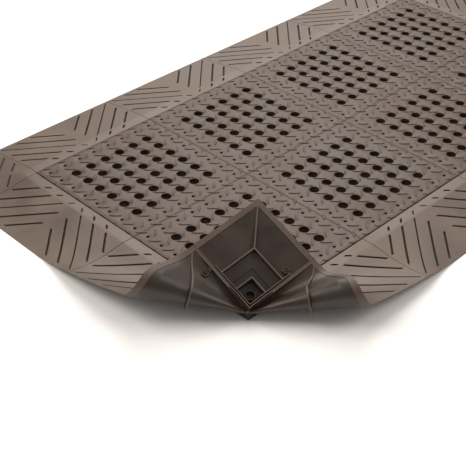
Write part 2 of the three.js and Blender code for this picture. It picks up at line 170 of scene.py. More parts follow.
def moulded_vinyl(name, hex_light, hex_dark, roughness, gloss_spread, grain_mm, grain_depth_mm, cloud_mm):
    """Injection-moulded flexible PVC, with a grain and slow clouds of shade and gloss."""
    material = bpy.data.materials.new(name)
    material.use_nodes = True
    tree = material.node_tree
    shader = tree.nodes["Principled BSDF"]
    shader.inputs["IOR"].default_value = PVC_IOR
    place = add_node(tree, "ShaderNodeTexCoord")
    clouds = add_node(
        tree,
        "ShaderNodeTexNoise",
        {"Scale": 1 / (cloud_mm * MM), "Detail": 3.0, "Roughness": 0.5},
        {"Vector": place.outputs["Object"]},
    )
    shade = add_node(tree, "ShaderNodeValToRGB", links={"Fac": clouds.outputs["Fac"]})
    shade.color_ramp.elements[0].position = CLOUD_LOW
    shade.color_ramp.elements[0].color = linear(hex_dark)
    shade.color_ramp.elements[1].position = CLOUD_HIGH
    shade.color_ramp.elements[1].color = linear(hex_light)
    tree.links.new(shade.outputs["Color"], shader.inputs["Base Color"])
    gloss = add_node(
        tree,
        "ShaderNodeMapRange",
        {
            "From Min": CLOUD_LOW,
            "From Max": CLOUD_HIGH,
            "To Min": roughness - gloss_spread,
            "To Max": roughness + gloss_spread,
        },
        {"Value": clouds.outputs["Fac"]},
    )
    tree.links.new(gloss.outputs["Result"], shader.inputs["Roughness"])
    grain = add_node(
        tree,
        "ShaderNodeTexNoise",
        {"Scale": 1 / (grain_mm * MM), "Detail": 2.0, "Roughness": 0.6},
        {"Vector": place.outputs["Object"]},
    )
    relief = add_node(
        tree,
        "ShaderNodeBump",
        {"Strength": 1.0, "Distance": grain_depth_mm * MM},
        {"Height": grain.outputs["Fac"]},
    )
    tree.links.new(relief.outputs["Normal"], shader.inputs["Normal"])
    return material


tread_vinyl = moulded_vinyl(
    "grained_vinyl_tread_face", "#4b392b", "#3f2f23",
    roughness=0.50, gloss_spread=0.05, grain_mm=1.5, grain_depth_mm=0.10, cloud_mm=90,
)
ramp_vinyl = moulded_vinyl(
    "satin_vinyl_ramp_face", "#665649", "#4b3d33",
    roughness=0.44, gloss_spread=0.12, grain_mm=1.8, grain_depth_mm=0.05, cloud_mm=120,
)
# Painted shade: the underside colour is darker than the face, to paint the shade in pockets, bores and walls.
under_vinyl_painted_shade = moulded_vinyl(
    "smooth_vinyl_underside_painted_shade", "#33271e", "#291f18",
    roughness=0.34, gloss_spread=0.08, grain_mm=3.0, grain_depth_mm=0.03, cloud_mm=60,
)
# Painted light: the rims and rib edges are a lighter colour than the underside, to paint the light they
# catch.
rim_vinyl_painted_light = moulded_vinyl(
    "vinyl_rim_painted_light", "#57473b", "#4a3b31",
    roughness=0.46, gloss_spread=0.05, grain_mm=1.5, grain_depth_mm=0.08, cloud_mm=60,
)
# Painted shade: the dark colour paints the shade that falls in the grooves.
groove_vinyl_painted_shade = moulded_vinyl(
    "coarse_vinyl_painted_groove_shade", "#2b2119", "#211913",
    roughness=0.70, gloss_spread=0.05, grain_mm=1.5, grain_depth_mm=0.10, cloud_mm=60,
)
ramp_finishes = [ramp_vinyl, under_vinyl_painted_shade, rim_vinyl_painted_light, groove_vinyl_painted_shade]
print("materials:", [m.name for m in (tread_vinyl, *ramp_finishes)])

# %% [markdown]
# ## Sizes
# All sizes are in millimetres and are those of the solids. Everything on the mat follows the pitch of the
# drain holes: a tile is eight pitches wide and a ramp four.

# %% Sizes
PITCH = 38.1
CELLS = 8
TILE = CELLS * PITCH
RAMP = 4 * PITCH
THICK = 19.05
GAP = 0.3
TILES_LONG = 4
TILES_WIDE = 2
HALF_LONG = TILES_LONG * TILE / 2
HALF_WIDE = TILES_WIDE * TILE / 2

BAND = 25.0
LIP = 2.0


def ramp_top(r):
    """Height of a ramp's face at r out from the tile: a flat band, then a slope down to the lip."""
    if r <= BAND:
        return THICK
    return LIP + (THICK - LIP) * (RAMP - r) / (RAMP - BAND)


print("mat in mm:", 2 * (HALF_LONG + RAMP), "by", 2 * (HALF_WIDE + RAMP), "by", THICK)

# %% [markdown]
# ## Moulds
# A moulding could be cut out of a block with boolean modifiers, but hundreds of holes make those slow and
# leave poor edges. Here every face is laid out directly, in millimetres, and corners that meet are welded
# at the end. A mould keeps its faces in four kinds, each with its finish: the walking face, the
# underside, the feet, which are the rims and rib edges that rub on the floor, and the insides of grooves.

# %% Moulds
# The UNDER and GROOVE finishes carry painted shade, the FOOT finish painted light.
FACE = 0
UNDER = 1
FOOT = 2
GROOVE = 3
WELD = 0.02
SHARP_DEGREES = 32


class Mould:
    """Collects the faces of one moulding and turns them into a piece."""

    def __init__(self):
        self.points = []
        self.faces = []
        self.kinds = []

    def face(self, corners, kind=FACE):
        start = len(self.points)
        self.points.extend(corners)
        self.faces.append(range(start, start + len(corners)))
        self.kinds.append(kind)

    def strip(self, one, other, kind=FACE):
        """Quads between two rings of the same number of points."""
        for k in range(len(one)):
            n = (k + 1) % len(one)
            self.face([one[k], one[n], other[n], other[k]], kind)

    def stack(self, rows, kind=FACE):
        """A closed body of rings of points, one after the other, with a face over each end."""
        for one, other in zip(rows, rows[1:]):
            self.strip(one, other, kind)
        self.face(rows[0], kind)
        self.face(rows[-1], kind)

    def moved(self, place):
        """The same faces with every point sent to place(x, y, z)."""
        made = Mould()
        made.points = [place(*p) for p in self.points]
        made.faces = self.faces
        made.kinds = self.kinds
        return made

    def add(self, other):
        start = len(self.points)
        self.points.extend(other.points)
        self.faces.extend([[start + i for i in f] for f in other.faces])
        self.kinds.extend(other.kinds)

    def mesh(self, name, materials):
        """Welds the corners, turns the faces outwards and scales to metres."""
        mesh = bpy.data.meshes.new(name)
        mesh.from_pydata([tuple(p) for p in self.points], [], [tuple(f) for f in self.faces])
        mesh.polygons.foreach_set("material_index", self.kinds)
        work = bmesh.new()
        work.from_mesh(mesh)
        bmesh.ops.remove_doubles(work, verts=work.verts, dist=WELD)
        bmesh.ops.dissolve_degenerate(work, edges=work.edges, dist=WELD)
        bmesh.ops.recalc_face_normals(work, faces=work.faces)
        bmesh.ops.scale(work, vec=(MM, MM, MM), verts=work.verts)
        work.to_mesh(mesh)
        work.free()
        for material in materials:
            mesh.materials.append(material)
        mesh.shade_smooth()
        mesh.set_sharp_from_angle(angle=math.radians(SHARP_DEGREES))
        return mesh


triangles = {}


def add_piece(node, mesh):
    """Puts a finished mesh in the scene in place of its solid."""
    piece = bpy.data.objects.new(node + "_moulding", mesh)
    bpy.context.scene.collection.objects.link(piece)
    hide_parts(node)
    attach(piece, "root")
    mesh.calc_loop_triangles()
    triangles[node] = len(mesh.loop_triangles)


print("finish of each kind:", [ramp_finishes[kind].name for kind in (FACE, UNDER, FOOT, GROOVE)])

# %% [markdown]
# ## Loops and pegs
# Pieces hold together by small flat loops that reach under the next piece and clip round a peg there. Each
# loop is a ring with softened edges on a short tongue. It is made once, pointing along +X from a seam at
# x = 0, and a place function then sends it to its piece. Pegs, legs and the like are let into the skin above
# them by half a millimetre, so that no gap shows.

# %% Loops and pegs
LOOP_REACH = 16.0
LOOP_OUTER = 7.5
LOOP_BORE = 3.5
LOOP_LOW = 1.5
LOOP_THICK = 3.0
LOOP_SOFT = 0.7
LOOP_STEPS = 24
TONGUE = 8.0
TONGUE_ROOT = 1.6
PEG_RADIUS = 2.8
PEG_SOFT = 0.6
PEG_STEPS = 16
SEATED = 0.5
SIDE_JOINT = 76.2
RAMP_JOINT = 99.0


def circle(x, y, z, radius, steps):
    angles = [2 * math.pi * k / steps for k in range(steps)]
    return [(x + radius * math.cos(t), y + radius * math.sin(t), z) for t in angles]


def loop_mould():
    made = Mould()
    low, high = LOOP_LOW, LOOP_LOW + LOOP_THICK
    section = [
        (LOOP_BORE, low + LOOP_SOFT),
        (LOOP_BORE + LOOP_SOFT, low),
        (LOOP_OUTER - LOOP_SOFT, low),
        (LOOP_OUTER, low + LOOP_SOFT),
        (LOOP_OUTER, high - LOOP_SOFT),
        (LOOP_OUTER - LOOP_SOFT, high),
        (LOOP_BORE + LOOP_SOFT, high),
        (LOOP_BORE, high - LOOP_SOFT),
    ]
    rings = [circle(LOOP_REACH, 0, z, radius, LOOP_STEPS) for radius, z in section]
    for k, ring in enumerate(rings):
        made.strip(ring, rings[(k + 1) % len(rings)], UNDER)
    half = TONGUE / 2
    outline = [
        (-half, low + LOOP_SOFT),
        (-half + LOOP_SOFT, low),
        (half - LOOP_SOFT, low),
        (half, low + LOOP_SOFT),
        (half, high - LOOP_SOFT),
        (half - LOOP_SOFT, high),
        (-half + LOOP_SOFT, high),
        (-half, high - LOOP_SOFT),
    ]
    ends = (-TONGUE_ROOT, LOOP_REACH - LOOP_BORE - LOOP_SOFT)
    made.stack([[(x, y, z) for y, z in outline] for x in ends], UNDER)
    return made


def peg_mould(ceiling):
    made = Mould()
    rows = [
        (PEG_RADIUS - PEG_SOFT, LOOP_LOW),
        (PEG_RADIUS, LOOP_LOW + PEG_SOFT),
        (PEG_RADIUS, ceiling + SEATED),
    ]
    made.stack([circle(LOOP_REACH, 0, z, radius, PEG_STEPS) for radius, z in rows], UNDER)
    return made


def joint_mould(kind, ceiling, angle, x, y):
    """A loop or a peg at (x, y) on a seam, for a piece whose outside lies along angle (degrees)."""
    mould = loop_mould() if kind == "loop" else peg_mould(ceiling)
    spin = math.radians(angle if kind == "loop" else angle + 180)
    c, s = math.cos(spin), math.sin(spin)
    return mould.moved(lambda u, v, z: (x + c * u - s * v, y + s * u + c * v, z))


print("loop faces:", len(loop_mould().faces))

# %% [markdown]
# ## Tiles
# A tile is an eight by eight grid of square cells, one pitch wide. The inner six by six hold drain holes with
# a short tube below each, and every second tube reaches the floor. The cells round them hold pinholes. Tread
# bars, like those on checker plate, lie across the middle of every cell edge, leaning one way on the
# upright edges and the other way on the level ones. The bars that lie over a seam are cut through by it, so
# each tile carries its half.
# One cell is a set of rings from its square border to its hole. The cells share their borders, so they weld
# into one closed skin.

# %% Tile cells
HOLE_RADIUS = 10.3
PIN_RADIUS = 3.2
PIN_SOFT = 0.4
HOLE_STEPS = 24
SIDE_STEPS = HOLE_STEPS // 4
SKIN = 4.5
CEILING = THICK - SKIN
HOLE_SOFT = 0.9
SOFT_SHARE = 0.3
TUBE_WALL = 2.0
SHORT_TUBE_END = 6.5
EDGE_SOFT = 0.7
SIDE_WALL = 3.2
LEG = 9.0
LEG_PLACES = (-2 * PITCH, 0.0, 2 * PITCH)
TILE_EDGE = TILE / 2 - GAP
MIDDLE_CELL = (CELLS - 1) / 2


def clipped(v, limit):
    return max(-limit, min(limit, v))


def cell_border(x, y, limit, z):
    """Points round a cell, one on the ray to each point of its hole. limit holds back the tile's outside."""
    row = []
    for k in range(HOLE_STEPS):
        c, s = math.cos(2 * math.pi * k / HOLE_STEPS), math.sin(2 * math.pi * k / HOLE_STEPS)
        out = PITCH / 2 / max(abs(c), abs(s))
        row.append((clipped(x + out * c, limit), clipped(y + out * s, limit), z))
    return row


def cell(mould, x, y, radius, soft, tube_end):
    """One cell: face, softened rim, bore, and below it a tube or just the underside of the skin."""

    def ring(r, z):
        return circle(x, y, z, r, HOLE_STEPS)

    eased_radius, eased_z = radius + soft * SOFT_SHARE, THICK - soft * SOFT_SHARE
    mould.strip(cell_border(x, y, TILE_EDGE - EDGE_SOFT, THICK), ring(radius + soft, THICK))
    mould.strip(ring(radius + soft, THICK), ring(eased_radius, eased_z))
    mould.strip(ring(eased_radius, eased_z), ring(radius, THICK - soft))
    inside = cell_border(x, y, TILE_EDGE - SIDE_WALL, CEILING)
    if tube_end is None:
        mould.strip(ring(radius, THICK - soft), ring(radius, CEILING), UNDER)
        mould.strip(ring(radius, CEILING), inside, UNDER)
        return
    mould.strip(ring(radius, THICK - soft), ring(radius, tube_end), UNDER)
    mould.strip(ring(radius, tube_end), ring(radius + TUBE_WALL, tube_end), UNDER)
    mould.strip(ring(radius + TUBE_WALL, tube_end), ring(radius + TUBE_WALL, CEILING), UNDER)
    mould.strip(ring(radius + TUBE_WALL, CEILING), inside, UNDER)


def tile_skin():
    mould = Mould()
    for i in range(CELLS):
        for j in range(CELLS):
            x, y = (i - MIDDLE_CELL) * PITCH, (j - MIDDLE_CELL) * PITCH
            if 0 < i < CELLS - 1 and 0 < j < CELLS - 1:
                cell(mould, x, y, HOLE_RADIUS, HOLE_SOFT, SHORT_TUBE_END if (i + j) % 2 else 0.0)
            else:
                cell(mould, x, y, PIN_RADIUS, PIN_SOFT, None)
    turns = [math.radians(360 / HOLE_STEPS * k) for k in range(-SIDE_STEPS // 2, SIDE_STEPS // 2)]
    side = [(c - MIDDLE_CELL) * PITCH + math.tan(t) * PITCH / 2 for c in range(CELLS) for t in turns]
    half = TILE / 2
    outline = [(half, v) for v in side] + [(-v, half) for v in side]
    outline += [(-half, -v) for v in side] + [(v, -half) for v in side]
    levels = [
        (TILE_EDGE - EDGE_SOFT, THICK, FACE),
        (TILE_EDGE - EDGE_SOFT * SOFT_SHARE, THICK - EDGE_SOFT * SOFT_SHARE, FACE),
        (TILE_EDGE, THICK - EDGE_SOFT, FACE),
        (TILE_EDGE, 0.0, UNDER),
        (TILE_EDGE - SIDE_WALL, 0.0, UNDER),
        (TILE_EDGE - SIDE_WALL, CEILING, UNDER),
    ]
    rows = [[(clipped(x, limit), clipped(y, limit), z) for x, y in outline] for limit, z, _ in levels]
    for row, below, level in zip(rows, rows[1:], levels[1:]):
        mould.strip(row, below, level[2])
    return mould


tile = tile_skin()
print("tile skin faces:", len(tile.faces))

# %% [markdown]
# ### Tread bars
# A bar is 24 mm long and pointed at both ends, with a rounded back. It is five outlines, one above the
# other, the lowest sunk a little into the face. Each is drawn in by an inset, and more so at the points. Bars
# over a seam are trimmed flush with the tile's side.

# %% Tread bars
BAR_LENGTH = 24.0
BAR_WIDTH = 5.2
BAR_HEIGHT = 1.5
BAR_SUNK = 0.4
BAR_LEVELS = [(0.0, -BAR_SUNK), (0.0, 0.3), (0.35, 1.0), (0.9, 1.4), (1.6, BAR_HEIGHT)]
POINT_INSET = 1.6
TRIM_SLACK = 0.001
BAR_PLAN = [(-1.0, 0.0), (-0.72, 0.62), (-0.36, 0.94), (0.0, 1.0), (0.36, 0.94), (0.72, 0.62), (1.0, 0.0)]


def bar_outline(x, y, direction, inset, z):
    """Pointed plan of a bar, drawn in by inset. direction is 1 for a bar along +X +Y and -1 along +X -Y."""
    upper = [(u * (BAR_LENGTH / 2 - POINT_INSET * inset), v * (BAR_WIDTH / 2 - inset)) for u, v in BAR_PLAN]
    plan = upper + [(u, -v) for u, v in upper[-2:0:-1]]
    c, s = math.sqrt(0.5), direction * math.sqrt(0.5)
    return [(x + c * u - s * v, y + s * u + c * v, z) for u, v in plan]


def bar(mould, x, y, direction):
    mould.stack([bar_outline(x, y, direction, inset, THICK + z) for inset, z in BAR_LEVELS])


def trimmed(mould, limit):
    """Cuts a mould's bodies off flush at x and y of plus and minus limit, and closes them."""
    work = bmesh.new()
    corners = [work.verts.new(p) for p in mould.points]
    for f in mould.faces:
        work.faces.new([corners[i] for i in f])
    bmesh.ops.remove_doubles(work, verts=work.verts, dist=WELD)
    for normal in ((1, 0, 0), (-1, 0, 0), (0, 1, 0), (0, -1, 0)):
        everything = work.verts[:] + work.edges[:] + work.faces[:]
        plane = [limit * v for v in normal]
        bmesh.ops.bisect_plane(
            work, geom=everything, plane_co=plane, plane_no=normal, clear_outer=True, dist=TRIM_SLACK
        )
        rim = [e for e in work.edges if e.is_boundary]
        bmesh.ops.holes_fill(work, edges=rim, sides=0)
    made = Mould()
    for f in work.faces:
        made.face([tuple(v.co) for v in f.verts])
    work.free()
    return made


def tile_bars():
    """Every bar of a tile, on both sets of cell edges. Those on the tile's own edges are trimmed."""
    inner, seam = Mould(), Mould()
    for i in range(CELLS + 1):
        for j in range(CELLS):
            edge, middle = (i - CELLS / 2) * PITCH, (j - MIDDLE_CELL) * PITCH
            group = seam if i in (0, CELLS) else inner
            bar(group, edge, middle, 1)
            bar(group, middle, edge, -1)
    inner.add(trimmed(seam, TILE_EDGE))
    return inner


def tile_legs():
    """Square legs under the corners of some cells, where the skin needs holding up between the tubes."""
    mould = Mould()
    half = LEG / 2
    for x in LEG_PLACES:
        for y in LEG_PLACES:
            plan = [(x - half, y - half), (x + half, y - half), (x + half, y + half), (x - half, y + half)]
            mould.stack([[(u, v, z) for u, v in plan] for z in (0.0, CEILING + SEATED)], UNDER)
    return mould


tile.add(tile_bars())
tile.add(tile_legs())
for kind, angle, x, y in (
    ("loop", 180, -TILE / 2, SIDE_JOINT),
    ("loop", 90, SIDE_JOINT, TILE / 2),
    ("peg", 0, TILE / 2, SIDE_JOINT),
    ("peg", -90, SIDE_JOINT, -TILE / 2),
):
    tile.add(joint_mould(kind, CEILING, angle, x, y))
tile_mesh = tile.mesh("tile", [tread_vinyl, under_vinyl_painted_shade])
for i in range(TILES_LONG):
    for j in range(TILES_WIDE):
        mesh = tile_mesh.copy()
        place = Vector((i * TILE + TILE / 2 - HALF_LONG, j * TILE + TILE / 2 - HALF_WIDE, 0))
        mesh.transform(Matrix.Translation(place * MM))
        add_piece(f"tile_{i + 1}_{j + 1}", mesh)
bpy.data.meshes.remove(tile_mesh)
print("tile triangles:", triangles["tile_1_1"])

# %% [markdown]
# ## Ramps
# A ramp's face carries two mirrored sets of slanting grooves that drain water outwards. Underneath it is a
# shallow tray with two slanting ribs. All of these run at 45 degrees, so a plain grid would need very small
# cells. Instead a flat sheet, half a ramp long, is cut along every line where the height changes, and each
# corner then gets one height for the face and one for the underside. Mirroring it makes the other half.

# %% Sheets cut along lines
ROOT2 = math.sqrt(2)
GROOVE_SUMS = (2, 3, 4, 5, 6)
GROOVE_WIDTH = 4.6
GROOVE_FLOOR = 0.6
GROOVE_DEPTH = 3.5
GROOVE_END = 1.1
GROOVE_SKIN = 0.6
RAMP_SKIN = 4.2
TRAY_LOWEST = 0.7
TRAY_START = GAP + SIDE_WALL
TRAY_END = 142.0
TRAY_LEVEL_FROM = TRAY_END - 12
DRAFT = 0.35
RIB = 3.0
RIM_SOFT = 0.6
SEAM_SOFT = 2.2
TOE = 1.0
TOE_HEIGHT = 1.1
NEAR = 0.05


def cut_sheet(low, high, lines):
    """A flat square sheet from low to high in a and r, cut along lines (m, n, d) where m a + n r = d."""
    work = bmesh.new()
    corners = [low, (high[0], low[1]), high, (low[0], high[1])]
    work.faces.new([work.verts.new((a, r, 0)) for a, r in corners])
    for m, n, d in lines:
        size = m * m + n * n
        everything = work.verts[:] + work.edges[:] + work.faces[:]
        on_line = (m * d / size, n * d / size, 0)
        bmesh.ops.bisect_plane(work, geom=everything, plane_co=on_line, plane_no=(m, n, 0), dist=WELD)
    faces = [[(v.co.x, v.co.y) for v in f.verts] for f in work.faces]
    rim = [[(v.co.x, v.co.y) for v in e.verts] for e in work.edges if e.is_boundary]
    work.free()
    return faces, rim


def both_sides(value):
    """The lines a = value and r = value."""
    return [(1, 0, value), (0, 1, value)]


def slanted(total, offsets):
    """Lines at 45 degrees where a + r is total, set off to both sides by the offsets."""
    made = []
    for offset in offsets:
        made += [(1, 1, total - ROOT2 * offset), (1, 1, total + ROOT2 * offset)]
    return made


def raised_sheet(mould, sheet, plain_height, face_height, under_height, open_at=None):
    """Lifts a cut sheet into a face, an underside and the walls between them, in (a, r, z).

    plain_height is the face without its grooves, and tells which faces lie inside one.
    """
    faces, rim = sheet
    for corners in faces:
        # Grooves get the painted groove shade; faces down on the floor get the painted light of the rims,
        # other undersides the painted shade.
        above = [(a, r, face_height(a, r)) for a, r in corners]
        grooved = any(plain_height(a, r) - z > NEAR for a, r, z in above)
        mould.face(above, GROOVE if grooved else FACE)
        below = [(a, r, under_height(a, r)) for a, r in corners]
        mould.face(below, FOOT if max(z for _, _, z in below) < NEAR else UNDER)
    for one, other in rim:
        if open_at is not None and abs(one[0] - open_at) < NEAR and abs(other[0] - open_at) < NEAR:
            continue
        above = [(*one, face_height(*one)), (*other, face_height(*other))]
        below = [(*other, under_height(*other)), (*one, under_height(*one))]
        mould.face(above + below, UNDER)


print("tray from", TRAY_START, "to", TRAY_END, "mm out from the tile")

# %% [markdown]
# ### Groove pattern of an edge ramp
# Grooves lie where the sum of the two distances, along from the ramp's end and out from the tile, is two,
# three, four, five or six pitches. The first three are broken once, where they cross the edge of the flat
# band. Each is given by that sum and by how far out it starts and ends.

# %% Ramp faces and undersides
GROOVES = [
    (2, 0.31, 0.56), (2, 0.75, 1.80),
    (3, 0.31, 0.56), (3, 0.75, 2.75),
    (4, 0.31, 0.56), (4, 0.75, 3.76),
    (5, 1.35, 3.76),
    (6, 2.35, 3.76),
]
RIB_SUM = 4 * PITCH
THINNEST = 1.5
TAPER = 0.45


def tray_ceiling(r):
    """Height of the underside between the ribs. Near the toe it levels out just above the floor."""
    return max(TRAY_LOWEST, ramp_top(r) - RAMP_SKIN)


def groove_floor(r, depth):
    """Depth of a groove at r, held back where the ramp is thin."""
    return min(depth, ramp_top(r) - tray_ceiling(r) - GROOVE_SKIN)


def soft_rim(a, r):
    """How far the face drops at the seams: a little at a neighbour, more along the tile."""
    return max(0.0, RIM_SOFT - (a - GAP), SEAM_SOFT - (r - GAP))


def ramp_plain(a, r):
    """The face of a ramp without its grooves."""
    if r > RAMP - NEAR:
        return TOE_HEIGHT
    return ramp_top(r) - soft_rim(a, r)


def ramp_face(a, r):
    for total, start, end in GROOVES:
        off = abs(a + r - total * PITCH) / ROOT2
        inside = start * PITCH + GROOVE_END - NEAR < r < end * PITCH - GROOVE_END + NEAR
        if inside and off < GROOVE_FLOOR + NEAR:
            return ramp_top(r) - groove_floor(r, GROOVE_DEPTH)
    return ramp_plain(a, r)


def ramp_under(a, r):
    if a < TRAY_START + NEAR or r < TRAY_START + NEAR or r > TRAY_END - NEAR:
        return 0.0
    if abs(a + r - RIB_SUM) / ROOT2 < RIB / 2 + NEAR:
        return 0.0
    return tray_ceiling(r)


def ramp_lines():
    """Every line where a flat ramp's face or underside changes height."""
    made = []
    for total in GROOVE_SUMS:
        made += slanted(total * PITCH, (GROOVE_WIDTH / 2, GROOVE_FLOOR))
    made += slanted(RIB_SUM, (RIB / 2, RIB / 2 + DRAFT))
    starts = {start for _, start, _ in GROOVES}
    for place in sorted(starts | {end for _, _, end in GROOVES}):
        inner = place * PITCH + (GROOVE_END if place in starts else -GROOVE_END)
        made += [(0, 1, place * PITCH), (0, 1, inner)]
    for value in (GAP + RIM_SOFT, TRAY_START, TRAY_START + DRAFT):
        made += both_sides(value)
    across = (GAP + SEAM_SOFT, BAND, TRAY_END, TRAY_END - DRAFT, RAMP - TOE, TRAY_LEVEL_FROM)
    return made + [(0, 1, r) for r in across]


plain_lines = ramp_lines()
plain_half = cut_sheet((GAP, GAP), (TILE / 2, RAMP), plain_lines)
print("half ramp faces:", len(plain_half[0]))


def tapered_under(a, r):
    """The underside where walls dwindle towards the tile's corner, so that the fold has room."""
    thick = max(THINNEST, TAPER * math.hypot(a, r))
    return max(ramp_under(a, r), ramp_face(a, r) - thick)


def ramp_mould(near_half, far_half, kinds, near_under=ramp_under):
    """A whole ramp in (a, r, z): a from 0 at its low end, r out from the tile."""
    near, far, whole = Mould(), Mould(), Mould()
    raised_sheet(near, near_half, ramp_plain, ramp_face, near_under, open_at=TILE / 2)
    raised_sheet(far, far_half, ramp_plain, ramp_face, ramp_under, open_at=TILE / 2)
    whole.add(near)
    whole.add(far.moved(lambda a, r, z: (TILE - a, r, z)))
    ceiling = tray_ceiling(RAMP_JOINT)
    whole.add(joint_mould(kinds["inner"], THICK - RAMP_SKIN, -90, TILE / 2 + SIDE_JOINT, 0))
    whole.add(joint_mould(kinds["low"], ceiling, 180, 0, RAMP_JOINT))
    whole.add(joint_mould(kinds["high"], ceiling, 0, TILE, RAMP_JOINT))
    return whole


# %% [markdown]
# ## The fold
# Vinyl sheet bends without stretching, so next to the turned corner each ramp takes the shape of a cone with
# its point at the tile's corner: every point keeps its distance from there. The direction to a point follows
# a curve on a sphere. It starts flat along the tile, lifts gently, turns back in a tight crease, and ends
# along the edge of the turned corner ramp. These are the same curves that shape the solids, and their
# angles, in degrees, are the ones that bring the end of each curve to the turned corner.

# %% The fold
TURN_AXIS = Vector((-0.688, 0.724, 0.057)).normalized()
TURN_DEGREES = 153.5
TURN = Quaternion(TURN_AXIS, math.radians(TURN_DEGREES))
FOLD_CORNER = Vector((-HALF_LONG, -HALF_WIDE, THICK))
FOLD_STEPS = 180
LIFT_CENTRE, LIFT_REACH = 22.0, 18.0
CREASE_REACH = 8.0
LIFT_FADE = 114.0


def bump(angle, centre, reach_degrees):
    """A smooth hump round centre whose area is one, so that a bend times it adds up to that bend."""
    u = max(-1.0, min(1.0, (angle - centre) / reach_degrees))
    return (1 + math.cos(math.pi * u)) / (2 * reach_degrees)


class Fold:
    """One bent row of ramps beside the turned corner."""

    def __init__(self, start, side, lift, crease_centre, crease_turn, flap_turn):
        self.start, self.side = Vector(start), Vector(side)
        self.crease = crease_centre
        out, way, above = self.start.copy(), self.side.copy(), Vector((0, 0, 1))
        self.frames = [(out.copy(), above.copy())]
        step = 90 / FOLD_STEPS
        flap_start = crease_centre + CREASE_REACH
        for i in range(FOLD_STEPS):
            angle = (i + 0.5) * step
            bend = lift * bump(angle, LIFT_CENTRE, LIFT_REACH)
            bend += crease_turn * bump(angle, crease_centre, CREASE_REACH)
            bend += flap_turn * bump(angle, (flap_start + 90) / 2, (90 - flap_start) / 2)
            spin = out.cross(way) * math.radians(step) + way.cross(above) * math.radians(bend * step)
            twist = Quaternion(spin.normalized(), spin.length)
            for v in (out, way, above):
                v.rotate(twist)
            self.frames.append((out.copy(), above.copy()))

    def flat(self, a, r, z):
        return FOLD_CORNER + self.start * a + self.side * r + Vector((0, 0, z - THICK))

    def cone(self, a, r, z):
        at = min(FOLD_STEPS - 1e-6, math.degrees(math.atan2(r, a)) / 90 * FOLD_STEPS)
        i = int(at)
        (out0, up0), (out1, up1) = self.frames[i], self.frames[i + 1]
        out = out0.lerp(out1, at - i).normalized()
        above = up0.lerp(up1, at - i).normalized()
        return FOLD_CORNER + out * math.hypot(a, r) + above * (z - THICK)

    def place(self, a, r, z):
        if r <= 0:
            return self.flat(a, r, z)
        if a <= 0:
            return FOLD_CORNER + TURN @ (self.flat(a, r, z) - FOLD_CORNER)
        if a <= TILE:
            return self.cone(a, r, z)
        share = max(0.0, 1 - (a - TILE) / LIFT_FADE) ** 2
        return self.flat(a, r, z) + (self.cone(TILE, r, z) - self.flat(TILE, r, z)) * share


fold_left = Fold(
    start=(0, 1, 0), side=(-1, 0, 0), lift=36.0,
    crease_centre=48.6762, crease_turn=146.1463, flap_turn=-28.4485,
)
fold_front = Fold(
    start=(1, 0, 0), side=(0, -1, 0), lift=26.0,
    crease_centre=49.2046, crease_turn=180.7445, flap_turn=-56.1029,
)
for fold in (fold_left, fold_front):
    print("the fold ends along", [round(v, 3) for v in fold.frames[-1][0]])

# %% [markdown]
# ### Folded ramps
# A bent sheet stays smooth only if its cuts follow the bend. On a cone the straight lines all run through the
# point, so the folded ramps get extra cuts fanned out from the tile's corner, closest together at the crease.
# The next ramps along only lift a little at one end, and get a few cuts across.

# %% Folded ramps
LIFT_CUTS, CREASE_CUTS, FLAP_CUTS = 10, 14, 9
ACROSS_EVERY = 12
ACROSS_TO = 130


def fan_lines(fold, mirrored):
    """Cuts through the tile's corner. In the mirrored far half that corner is at a = TILE."""
    first, last = fold.crease - CREASE_REACH, fold.crease + CREASE_REACH
    angles = [first * k / LIFT_CUTS for k in range(1, LIFT_CUTS)]
    angles += [first + (last - first) * k / CREASE_CUTS for k in range(CREASE_CUTS + 1)]
    angles += [last + (90 - last) * k / FLAP_CUTS for k in range(1, FLAP_CUTS)]
    made = []
    for angle in angles:
        c, s = math.cos(math.radians(angle)), math.sin(math.radians(angle))
        if mirrored:
            made.append((s, c, TILE * s))
        else:
            made.append((-s, c, 0))
    return made


def folded_half(fold, mirrored):
    return cut_sheet((GAP, GAP), (TILE / 2, RAMP), plain_lines + fan_lines(fold, mirrored))


across_lines = [(1, 0, a) for a in range(ACROSS_EVERY, ACROSS_TO, ACROSS_EVERY)]
lifted_half = cut_sheet((GAP, GAP), (TILE / 2, RAMP), plain_lines + across_lines)

sides = [
    ("front_ramp", TILES_LONG, (-HALF_LONG, -HALF_WIDE), (1, 0), (0, -1),
     {"inner": "loop", "low": "loop", "high": "peg"}, fold_front),
    ("back_ramp", TILES_LONG, (-HALF_LONG, HALF_WIDE), (1, 0), (0, 1),
     {"inner": "peg", "low": "loop", "high": "peg"}, None),
    ("left_ramp", TILES_WIDE, (-HALF_LONG, -HALF_WIDE), (0, 1), (-1, 0),
     {"inner": "peg", "low": "peg", "high": "loop"}, fold_left),
    ("right_ramp", TILES_WIDE, (HALF_LONG, -HALF_WIDE), (0, 1), (1, 0),
     {"inner": "loop", "low": "peg", "high": "loop"}, None),
]
for name, count, origin, along, out, kinds, fold in sides:
    plain = ramp_mould(plain_half, plain_half, kinds)
    for k in range(count):
        begin = k * TILE
        if fold and k == 0:
            mould = ramp_mould(folded_half(fold, False), folded_half(fold, True), kinds, tapered_under)
            made = mould.moved(fold.place)
        elif fold and k == 1:
            mould = ramp_mould(lifted_half, plain_half, kinds)
            made = mould.moved(lambda a, r, z: fold.place(a + begin, r, z))
        else:
            made = plain.moved(lambda a, r, z: (
                origin[0] + (a + begin) * along[0] + r * out[0],
                origin[1] + (a + begin) * along[1] + r * out[1],
                z,
            ))
        node = f"{name}_{k + 1}"
        add_piece(node, made.mesh(node, ramp_finishes))
    print(name, "triangles:", [triangles[f"{name}_{k + 1}"] for k in range(count)])

